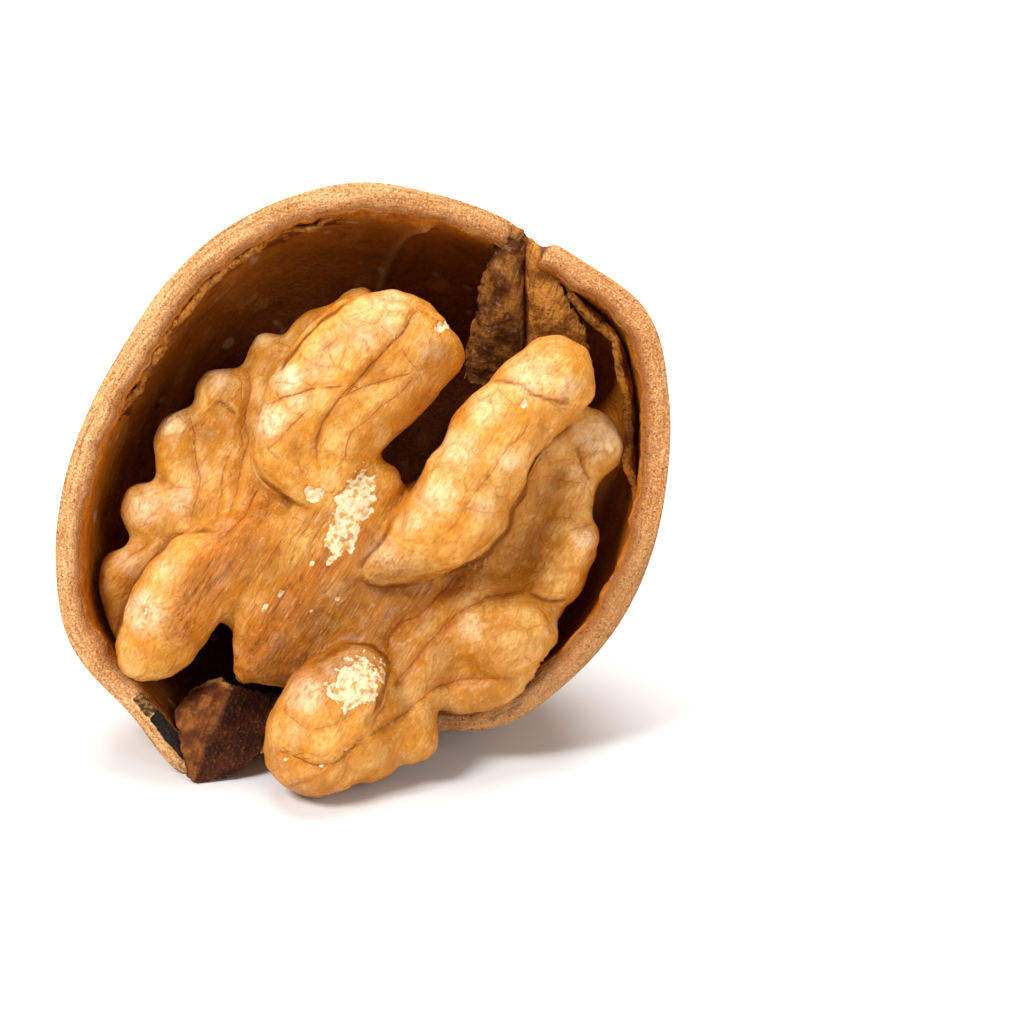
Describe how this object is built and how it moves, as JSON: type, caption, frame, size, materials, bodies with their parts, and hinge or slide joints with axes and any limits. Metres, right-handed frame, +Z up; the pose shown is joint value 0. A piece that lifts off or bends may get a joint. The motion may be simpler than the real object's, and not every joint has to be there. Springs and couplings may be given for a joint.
{
  "type": "walnut half",
  "caption": "Half of a cracked walnut standing on its belly: a woody half shell that leans back and opens forward, with the wrinkled kernel half still inside and proud of the broken rim.",
  "frame": {"origin": "centre of the bounding box's base, on the surface that the nut rests on", "axes": "+X to the right as the opening is looked at, +Y away from the opening towards the shell's back, +Z up; the opening faces -Y and is tipped up by 22 degrees"},
  "size_m": [0.0384, 0.031, 0.0346],
  "materials": {
    "shell_wood": "matte",
    "kernel_skin": "satin",
    "partition": "matte"
  },
  "bodies": {
    "root": {"shell": "shell_wood", "kernel": "kernel_skin", "partition_stem_end": "partition", "partition_tip": "partition"}
  },
  "joints": []
}
